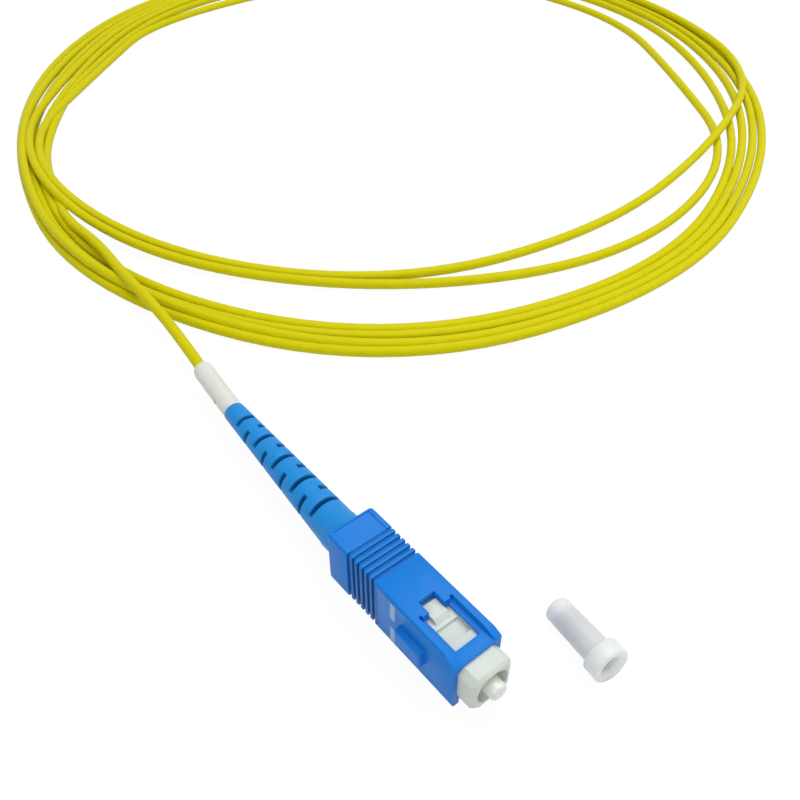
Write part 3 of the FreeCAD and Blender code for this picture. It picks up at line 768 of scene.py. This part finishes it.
@dataclass(frozen=True)
class Studio:
    """The camera, the soft lamps, the pale floor and the white surroundings."""

    target_mm: Point = (-46.168, 22.857, 0.0)
    azimuth: float = -39.575
    elevation: float = 42.776
    roll: float = 0.237
    distance_mm: float = 141.19
    lens_mm: float = 40.5
    sensor_mm: float = 36.0
    clip: tuple[float, float] = (0.005, 20.0)
    lamps: tuple[Lamp, ...] = (
        Lamp("lamp_above", (-90, 150, 480), 380, 1.55),
        Lamp("lamp_front", (160, -330, 260), 300, 0.48),
        Lamp("lamp_right", (260, 260, 200), 260, 0.3),
    )
    aim_mm: Point = (-60, 30, 0)
    world_light: float = 0.31
    world_shown: float = 1.0
    floor_reach_mm: float = 4000.0
    floor_grey: float = 0.72
    floor_glow: float = 1.05
    floor_glow_share: float = 0.9

    def make_camera(self) -> None:
        """Puts the camera where the connector is seen from its front right."""
        azimuth, elevation, roll = map(math.radians, (self.azimuth, self.elevation, self.roll))
        level = math.cos(elevation)
        back = Vector((level * math.cos(azimuth), level * math.sin(azimuth), math.sin(elevation)))
        right = Vector((0, 0, 1)).cross(back).normalized()
        up = back.cross(right)
        right, up = (math.cos(roll) * right + math.sin(roll) * up,
                     math.cos(roll) * up - math.sin(roll) * right)
        data = bpy.data.cameras.new("camera")
        data.lens = self.lens_mm
        data.sensor_width = self.sensor_mm
        data.clip_start, data.clip_end = self.clip
        camera = shown("camera", data)
        place = Matrix((right, up, back)).transposed().to_4x4()
        place.translation = (Vector(self.target_mm) + back * self.distance_mm) * MM
        camera.matrix_world = place
        bpy.context.scene.camera = camera

    def make_lamps(self) -> None:
        """Hangs the wide lamp above and the two weaker ones at the front, right and left."""
        for lamp in self.lamps:
            lamp.hang(self.aim_mm)

    def make_surroundings(self) -> None:
        """Sets a white world that lights less than it shows."""
        world = bpy.data.worlds.new("surroundings")
        world.use_nodes = True
        tree = world.node_tree
        tree.nodes.clear()
        seen = seen_by(tree, "Camera", "Glossy", "Transmission")
        strength = self.world_light + (self.world_shown - self.world_light) * seen
        sky = add_node(tree, "ShaderNodeBackground", {}, {"Color": WHITE, "Strength": strength})
        add_node(tree, "ShaderNodeOutputWorld", {}, {"Surface": sky.outputs[0]})
        bpy.context.scene.world = world
        bpy.context.scene.view_settings.view_transform = "Standard"

    def make_floor(self) -> None:
        """Lays the floor, which shows nearly white and keeps a faint shadow."""
        reach, level = self.floor_reach_mm * MM, FLOOR_MM * MM
        mesh = bpy.data.meshes.new("floor")
        mesh.from_pydata([(-reach, -reach, level), (reach, -reach, level), (reach, reach, level),
                          (-reach, reach, level)], [], [(0, 1, 2, 3)])
        floor = shown("floor", mesh)
        shader = Shader("floor_white")
        plain = shader.node("BsdfDiffuse", Color=(*(self.floor_grey,) * 3, 1.0))
        glow = shader.node("Emission", Color=WHITE, Strength=self.floor_glow)
        share = self.floor_glow_share * seen_by(shader.tree, "Camera", "Glossy")
        both = shader.node("MixShader", Fac=share, _1=shader.wire(plain), _2=shader.wire(glow))
        dress(floor, shader.finish(both))


# ------------------------------------------------------------------ cable
@dataclass(frozen=True)
class Turn:
    """One turn of the coil, from its left side backwards and round to its front.

    The radii and the heights above the floor are in millimetres at the coil's stations.
    """

    radii: tuple[float, ...]
    heights: tuple[float, ...]


# How high the cable's axis is above the floor where the cable lies on it, in millimetres.
LOW = 0.95


@dataclass
class Cable:
    """The free cable: its lead out of the sleeve and the loose coil, as one smooth line.

    The line passes through the last shaped_lead points of the lead, as through the coil's stations,
    and is only drawn towards the ones before them, so that it leaves the sleeve straight.
    """

    diameter_mm: float = 1.9
    length: float = 3.72
    centre_mm: tuple[float, float] = (-149.8, 104.6)
    front: float = -39.6
    stations: int = 12
    first_station: int = 9
    lead_mm: tuple[Point, ...] = (
        (-72.19, 2.64, 0.0),
        (-84.09, 4.19, 0.0),
        (-95.6, 4.9, 0.0),
        (-106.7, 5.5, -0.7),
        (-119.6, 6.4, -1.2),
        (-132.6, 6.4, -2.2),
        (-145.0, 9.0, -3.4),
        (-164.9, 15.3, -3.3),
        (-185.0, 27.7, -3.5),
    )
    shaped_lead: int = 6
    slack_inner: Turn = Turn((80.5, 79.8, 79.0, 78.2, 77.2, 76.3, 75.6, 88.0, 95.3, 96.1, 97.5, 93.9),
                             (LOW, LOW, LOW, LOW, LOW, LOW, LOW, LOW, LOW, LOW, 2.0, 3.1))
    main_turns: tuple[Turn, ...] = (
        Turn((84.6, 85.0, 85.2, 85.2, 84.6, 84.2, 84.0, 91.0, 102.3, 109.6, 104.5, 92.2),
             (1.5, LOW, LOW, LOW, LOW, LOW, LOW, LOW, LOW, LOW, LOW, LOW)),
        Turn((82.6, 82.7, 83.2, 85.2, 87.5, 88.2, 88.6, 93.1, 104.2, 111.5, 106.7, 94.2),
             (LOW, LOW, 1.6, 3.5, 1.6, LOW, LOW, LOW, LOW, LOW, LOW, LOW)),
        Turn((86.9, 87.0, 87.4, 88.0, 90.5, 90.9, 91.6, 95.3, 106.0, 114.0, 108.1, 95.7),
             (LOW, LOW, LOW, LOW, LOW, LOW, LOW, LOW, LOW, LOW, 2.8, 2.8)),
        Turn((89.2, 89.2, 89.7, 90.1, 92.5, 92.9, 93.6, 97.4, 107.8, 115.9, 109.1, 96.3),
             (1.2, LOW, LOW, LOW, LOW, LOW, LOW, LOW, LOW, LOW, LOW, LOW)),
    )
    slack_outer: Turn = Turn((91.3, 91.4, 91.8, 92.0, 91.5, 91.9, 92.6, 85.2, 86.5, 93.2, 95.0, 92.0),
                             (LOW, LOW, LOW, 1.8, 2.8, 2.7, 2.7, 3.1, LOW, LOW, 1.5, 2.8))
    tail: Turn = Turn((78.2, 77.4, 73.4), (LOW, LOW, LOW))
    sweeps: int = 12
    round_steps: int = 5
    span_steps: int = 12
    order: int = 3

    def station(self, number: int, radius: float, height: float) -> Vector:
        """Places a point of the coil.

        Args:
            number: How many stations past the coil's left side, going backwards.
            radius: Its distance from the centre.
            height: Its height above the floor.

        Returns:
            The point in millimetres.
        """
        turn = math.radians(self.front + (self.first_station - number) * 360 / self.stations)
        return Vector((self.centre_mm[0] + radius * math.cos(turn),
                       self.centre_mm[1] + radius * math.sin(turn), FLOOR_MM + height))

    def controls(self) -> list[Vector]:
        """Places the line's control points so that the line meets each station's radius.

        A spline of order 3 with even knots passes its control point b, which has a and c for
        neighbours, at (a + 6 b + c) / 8. What that misses is added to b in a few sweeps.

        Returns:
            The control points in millimetres.
        """
        turns = (self.slack_inner, *self.main_turns, self.slack_outer, self.tail)
        sides = [side for turn in turns for side in zip(turn.radii, turn.heights)]
        wanted = [Vector(point) for point in self.lead_mm]
        wanted += [self.station(i, radius, height) for i, (radius, height) in enumerate(sides)]
        points = [point.copy() for point in wanted]
        for _ in range(self.sweeps):
            for i in range(len(self.lead_mm) - self.shaped_lead, len(points) - 1):
                passed = (points[i - 1] + 6 * points[i] + points[i + 1]) / 8
                points[i].xy += wanted[i].xy - passed.xy
        return points

    def build(self) -> bpy.types.Object:
        """Makes the cable as a curve of one open spline.

        Returns:
            The curve object.
        """
        points = self.controls()
        curve = bpy.data.curves.new("cable", "CURVE")
        curve.dimensions = "3D"
        curve.bevel_depth = self.diameter_mm / 2 * MM
        curve.bevel_resolution = self.round_steps
        curve.resolution_u = self.span_steps
        curve.use_fill_caps = True
        spline = curve.splines.new("NURBS")
        spline.points.add(len(points) - 1)
        for control, point in zip(spline.points, points):
            control.co = (*(point * MM), 1.0)
        spline.order_u = self.order
        spline.use_endpoint_u = True
        return shown("cable", curve)

    def dress(self, cable: bpy.types.Object) -> None:
        """Args:
            cable: The cable's curve object.
        """
        dress(cable, FINISHES["jacket"].material())
        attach(cable, "plug")
        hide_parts("cable_tube", "cable_coil")


# ------------------------------------------------------------------ the connector's pieces
def settle(piece: bpy.types.Object, body: str, node: str) -> None:
    """Attaches a piece to a body and hides the CAD node whose place it takes.

    Args:
        piece: The piece.
        body: What it rides on.
        node: The CAD node that it replaces.
    """
    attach(piece, body)
    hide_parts(node)


@dataclass
class Housing:
    """The sliding outer housing with the paint marks on its key side."""

    rounding_mm: float = 0.1
    mark_x: tuple[float, float] = (-15.8, -14.85)
    mark_z: tuple[tuple[float, float], ...] = ((0.7, 3.9), (-3.9, -1.1))
    side_y: float = -3.7
    paint_mm: float = 0.02
    corner_mm: float = 0.15
    corner_steps: int = 4

    def build(self, nodes: dict[str, bpy.types.Object]) -> list[bpy.types.Object]:
        """Makes the housing from its CAD node, and its marks.

        Args:
            nodes: The CAD nodes by name.

        Returns:
            The housing and then its marks.
        """
        shell = softened(nodes["outer_housing"], "housing_shell", self.rounding_mm)
        marks = [self.build_mark(i, low, high) for i, (low, high) in enumerate(self.mark_z)]
        return [shell, *marks]

    def build_mark(self, number: int, low: float, high: float) -> bpy.types.Object:
        """Makes one painted bar on the key side.

        Args:
            number: Which bar it is.
            low: Its lower end.
            high: Its upper end.

        Returns:
            The bar.
        """
        shape = bmesh.new()
        bmesh.ops.create_cube(shape, size=1.0)
        x0, x1 = self.mark_x
        grow = Matrix.Diagonal(((x1 - x0) * MM, 2 * self.paint_mm * MM, (high - low) * MM, 1))
        shift = Matrix.Translation(Vector(((x0 + x1) / 2, self.side_y, (low + high) / 2)) * MM)
        bmesh.ops.transform(shape, matrix=shift @ grow, verts=shape.verts)
        outwards = [edge for edge in shape.edges
                    if (edge.verts[0].co - edge.verts[1].co).xz.length < self.paint_mm * MM]
        bmesh.ops.bevel(shape, geom=outwards, offset=self.corner_mm * MM, segments=self.corner_steps,
                        affect="EDGES", profile=0.5)
        return meshed(f"mark_{number}", shape)

    def dress(self, pieces: list[bpy.types.Object]) -> None:
        """Finishes the housing and its marks and lets them slide together.

        Args:
            pieces: The housing and then its marks.
        """
        shell, *marks = pieces
        dress(shell, FINISHES["housing"].material())
        settle(shell, "housing", "outer_housing")
        paint = FINISHES["paint"].material()
        for mark in marks:
            dress(mark, paint)
            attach(mark, "housing")


@dataclass
class PlugEnd:
    """The white plug frame and the boot, made from their CAD nodes with softer edges."""

    frame_rounding_mm: float = 0.1
    boot_rounding_mm: float = 0.08

    def build(self, nodes: dict[str, bpy.types.Object]) -> tuple[bpy.types.Object, bpy.types.Object]:
        """Makes the two pieces.

        Args:
            nodes: The CAD nodes by name.

        Returns:
            The plug frame and the boot.
        """
        return (softened(nodes["plug_frame"], "frame_shell", self.frame_rounding_mm),
                softened(nodes["boot"], "boot_shell", self.boot_rounding_mm))

    def dress(self, pieces: tuple[bpy.types.Object, bpy.types.Object]) -> None:
        """Finishes the two pieces.

        Args:
            pieces: The plug frame and the boot.
        """
        frame, boot = pieces
        dress(frame, FINISHES["frame"].material())
        settle(frame, "plug", "plug_frame")
        dress(boot, FINISHES["boot"].material())
        settle(boot, "plug", "boot")


@dataclass
class Ferrule:
    """The ceramic ferrule, turned with a rounded tip and its fibre hole."""

    radius_mm: float = 1.25
    shank_mm: float = 1.05
    shoulder_mm: float = -7.6
    rear_mm: float = -10.5
    tip_mm: float = 0.4
    tip_angles: tuple[float, ...] = (0, 15, 30, 45, 60, 75, 90)
    hole_mm: float = 0.0725
    funnel_mm: tuple[float, float] = (1.5, 0.55)
    steps: int = 72

    def outline(self) -> list[tuple[float, float]]:
        """Draws the ferrule's section, with a rounded edge round its front face.

        Returns:
            Distances along the axis and from it.
        """
        tip = [(-self.tip_mm * (1 - math.cos(a)), self.radius_mm - self.tip_mm * (1 - math.sin(a)))
               for a in map(math.radians, self.tip_angles)]
        funnel_length, funnel_radius = self.funnel_mm
        return [(0.0, self.hole_mm), *tip, (self.shoulder_mm, self.radius_mm),
                (self.shoulder_mm, self.shank_mm), (self.rear_mm, self.shank_mm),
                (self.rear_mm, funnel_radius), (self.rear_mm + funnel_length, self.hole_mm)]

    def build(self) -> bpy.types.Object:
        """Turns the ferrule."""
        return lathe("ferrule_body", self.outline(), self.steps)

    def dress(self, piece: bpy.types.Object) -> None:
        """Finishes the ferrule."""
        dress(piece, FINISHES["ceramic"].material())
        settle(piece, "ferrule_group", "ferrule")


@dataclass
class MarkerSleeve:
    """The white sleeve behind the boot, slightly pinched at its two ends and slightly uneven."""

    length_mm: float = 12.0
    bend_radius_mm: float = 315.0
    bore_mm: float = 0.98
    radius_mm: float = 1.63
    pinch_mm: float = 0.12
    pinch_reach_mm: float = 0.25
    swell_mm: float = 0.015
    swell_per_mm: float = 2.1
    length_steps: int = 24
    steps: int = 64

    def bent(self, point: Vector) -> Vector:
        """Moves a point from the straight axis to the bent one.

        Args:
            point: The point in millimetres.

        Returns:
            Its place in the cable's bend.
        """
        turn = (BOOT_FRONT_MM - point.x) / self.bend_radius_mm
        reach = self.bend_radius_mm - point.y
        return Vector((BOOT_FRONT_MM - reach * math.sin(turn),
                       self.bend_radius_mm - reach * math.cos(turn), point.z))

    def build(self) -> bpy.types.Object:
        """Turns the sleeve along its bent axis.

        Returns:
            The sleeve.
        """
        front, rear = BOOT_REAR_MM, BOOT_REAR_MM - self.length_mm
        outside = []
        for i in range(self.length_steps + 1):
            along = front - self.length_mm * i / self.length_steps
            end = min(front - along, along - rear)
            pinch = self.pinch_mm * math.exp(-end / self.pinch_reach_mm)
            swell = self.swell_mm * math.sin(along * self.swell_per_mm)
            outside.append((along, self.radius_mm - pinch + swell))
        inside = [(rear, self.bore_mm), (front, self.bore_mm)]
        return lathe("sleeve_body", outside + inside, self.steps, bend=self.bent)

    def dress(self, piece: bpy.types.Object) -> None:
        """Finishes the sleeve."""
        dress(piece, FINISHES["sleeve"].material())
        settle(piece, "plug", "marker_sleeve")


@dataclass
class DustCap:
    """The translucent dust cap, turned and laid on its flange and closed end.

    It touches the floor tip_contact_mm and flange_contact_mm past where its body and flange begin.
    """

    length_mm: float = 10.9
    tip_mm: float = 1.8
    base_mm: float = 1.925
    tip_round_mm: float = 0.6
    tip_contact_mm: float = 0.5
    flange_mm: float = 2.6
    flange_length_mm: float = 2.4
    flange_round_mm: float = 0.25
    flange_contact_mm: float = 0.2
    bore_mm: float = 1.27
    depth_mm: float = 8.8
    mouth_mm: float = 0.5
    place_mm: tuple[float, float] = (5.9, 14.0)
    yaw: float = -8.5
    arc_steps: int = 5
    steps: int = 72

    def arc(self, along: float, aside: float, radius: float, first: int) -> list[tuple[float, float]]:
        """Draws a quarter of a circle.

        Args:
            along: Its centre's distance along the axis.
            aside: Its centre's distance from the axis.
            radius: Its radius.
            first: The angle that it begins at, from which it turns back.

        Returns:
            Distances along the axis and from it.
        """
        turns = [math.radians(first - 90 * i / self.arc_steps) for i in range(self.arc_steps + 1)]
        return [(along + radius * math.cos(a), aside + radius * math.sin(a)) for a in turns]

    def outline(self) -> list[tuple[float, float]]:
        """Draws the cap's section from the middle of its closed end round to its bore.

        Returns:
            Distances along the axis and from it.
        """
        face, floor = self.length_mm - self.flange_length_mm, self.length_mm - self.depth_mm
        end, rim = self.tip_round_mm, self.flange_round_mm
        return [
            (0.0, 0.0),
            *self.arc(end, self.tip_mm - end, end, 180),
            (face, self.base_mm),
            *self.arc(face + rim, self.flange_mm - rim, rim, 180),
            *self.arc(self.length_mm - rim, self.flange_mm - rim, rim, 90),
            (self.length_mm, self.bore_mm + self.mouth_mm),
            (self.length_mm - self.mouth_mm, self.bore_mm),
            (floor, self.bore_mm),
            (floor, 0.0),
        ]

    def build(self) -> bpy.types.Object:
        """Turns the cap and lays it on the floor.

        Returns:
            The cap.
        """
        pivot = self.length_mm - self.flange_length_mm + self.flange_contact_mm
        tilt = math.atan((self.flange_mm - self.tip_mm) / (pivot - self.tip_contact_mm))
        turn = Matrix.Rotation(math.radians(self.yaw), 4, "Z") @ Matrix.Rotation(-tilt, 4, "Y")
        away = Matrix.Translation(Vector((-pivot, 0, self.flange_mm)) * MM)
        made = lathe("cap_body", self.outline(), self.steps, turn @ away)
        low = min(v.co.z for v in made.data.vertices)
        x, y = self.place_mm
        shift = Vector(((x - self.flange_length_mm) * MM, y * MM, FLOOR_MM * MM - low))
        made.data.transform(Matrix.Translation(shift))
        return made

    def dress(self, piece: bpy.types.Object) -> None:
        """Finishes the cap."""
        dress(piece, FINISHES["cap"].material())
        settle(piece, "plug", "dust_cap")


@dataclass
class AramidYarn:
    """The strength yarn laid back round the rear body's tail, strand beside strand."""

    strands: int = 64
    wall_mm: float = 0.15
    strand_mm: float = 0.066
    strand_sides: int = 6
    wander_mm: float = 0.03
    wander_per_mm: float = 1.2
    seed: float = 5.0
    steps: int = 9

    def build(self, box: Box) -> bpy.types.Object:
        """Lays the strands with Geometry Nodes.

        Args:
            box: The CAD node's lowest and highest corners.

        Returns:
            The yarn as one mesh.
        """
        low, high = box
        inset = self.strand_mm * MM
        tree = ShapeTree("aramid_strands")
        count = tree.put_in("Strands", "Int", self.strands)
        ring = tree.put_in("Ring Radius", "Float", high.y - self.wall_mm / 2 * MM)
        thin = tree.put_in("Strand Radius", "Float", self.strand_mm * MM)
        wander = tree.put_in("Wander", "Float", self.wander_mm * MM)
        seed = tree.put_in("Seed", "Float", self.seed)
        finish = tree.put_in("Material", "Material", FINISHES["yarn"].material())
        line = tree.node("CurvePrimitiveLine", Start=(low.x + inset, 0, 0), End=(high.x - inset, 0, 0))
        strand = tree.node("ResampleCurve", Curve=line, Count=self.steps)
        circle = tree.node("MeshCircle", Vertices=count, Radius=ring)
        upright = tree.node("Transform", Geometry=circle, Rotation=(0, math.pi / 2, 0))
        laid = tree.node("InstanceOnPoints", Points=upright, Instance=strand)
        loose = tree.node("RealizeInstances", Geometry=laid)
        cloud = add_node(tree.tree, "ShaderNodeTexNoise", {"noise_dimensions": "4D"},
                         {"W": seed, "Scale": self.wander_per_mm / MM})
        middle = tree.node("ShaderNodeVectorMath", {"operation": "SUBTRACT"},
                           _0=cloud.outputs["Color"], _1=(NOISE_MEAN,) * 3)
        shift = tree.node("ShaderNodeVectorMath", {"operation": "SCALE"}, _0=middle, Scale=wander)
        moved = tree.node("SetPosition", Geometry=loose, Offset=shift)
        return tree.swept(moved, self.strand_sides, thin, finish, "yarn_strands")

    def dress(self, piece: bpy.types.Object) -> None:
        """Lets the yarn ride on the plug in its solid's place."""
        settle(piece, "plug", "aramid_yarn")


@dataclass
class FerruleSpring:
    """The compression spring behind the ferrule's flange, which in the real plug shortens as the
    ferrule gives.
    """

    wire_mm: float = 0.4
    wire_sides: int = 10
    turns: float = 5.0
    travel_mm: float = 1.2
    round_steps: int = 28
    smooth_below: float = 50.0

    def build(self, box: Box) -> bpy.types.Object:
        """Winds the spring with Geometry Nodes.

        Args:
            box: The CAD node's lowest and highest corners.

        Returns:
            The spring as one mesh.
        """
        low, high = box
        half = self.wire_mm / 2 * MM
        tree = ShapeTree("spring_winding")
        turns = tree.put_in("Turns", "Float", self.turns)
        radius = tree.put_in("Mean Radius", "Float", high.y - half)
        height = tree.put_in("Height", "Float", high.x - low.x - 2 * half)
        thin = tree.put_in("Wire Radius", "Float", half)
        finish = tree.put_in("Material", "Material", FINISHES["steel"].material())
        spiral = tree.node("CurveSpiral", Resolution=self.round_steps, Rotations=turns,
                           Start_Radius=radius, End_Radius=radius, Height=height)
        laid = tree.node("Transform", Geometry=spiral, Rotation=(0, math.pi / 2, 0),
                         Translation=(low.x + half, 0, 0))
        made = tree.swept(laid, self.wire_sides, thin, finish, "spring_coils")
        smooth(made, self.smooth_below)
        return made

    def dress(self, piece: bpy.types.Object, box: Box) -> None:
        """Lets the spring ride on the plug in its CAD node's place, with a mesh of its own.

        Args:
            piece: The spring.
            box: The CAD node's lowest and highest corners. Not used.
        """
        settle(piece, "plug", "ferrule_spring")
        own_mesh(piece)


@dataclass
class InnerPieces:
    """The CAD nodes inside, which keep their shapes and get finishes of their own."""

    finishes: dict[str, str] = field(default_factory=lambda: {
        "ferrule_flange": "nickel",
        "guide_tube": "natural",
        "glass_fibre": "glass",
        "tight_buffer": "buffer",
        "rear_body": "nickel",
        "crimp_ring": "crimp",
        "jacket_end": "jacket",
    })

    def dress(self, nodes: dict[str, bpy.types.Object]) -> None:
        """Gives each node its finish.

        Args:
            nodes: The CAD nodes by name.
        """
        for node, finish in self.finishes.items():
            dress(nodes[node], FINISHES[finish].material())
            LOG.info("%s dressed", node)


def main() -> None:
    """Builds the scene, piece by piece."""
    logging.basicConfig(level=logging.INFO)
    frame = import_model()
    nodes = frame["nodes"]
    studio = Studio()
    studio.make_camera()
    cable = Cable()
    cable.dress(cable.build())
    LOG.info("cable built")
    housing = Housing()
    housing.dress(housing.build(nodes))
    LOG.info("housing built")
    plug = PlugEnd()
    plug.dress(plug.build(nodes))
    LOG.info("plug frame and boot built")
    ferrule = Ferrule()
    ferrule.dress(ferrule.build())
    LOG.info("ferrule built")
    sleeve = MarkerSleeve()
    sleeve.dress(sleeve.build())
    LOG.info("marker sleeve built")
    cap = DustCap()
    cap.dress(cap.build())
    LOG.info("dust cap built")
    yarn = AramidYarn()
    yarn.dress(yarn.build(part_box("aramid_yarn")))
    LOG.info("aramid yarn built")
    spring, spring_box = FerruleSpring(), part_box("ferrule_spring")
    spring.dress(spring.build(spring_box), spring_box)
    LOG.info("ferrule spring built")
    InnerPieces().dress(nodes)
    studio.make_lamps()
    studio.make_surroundings()
    studio.make_floor()


if __name__ == "__main__":
    main()
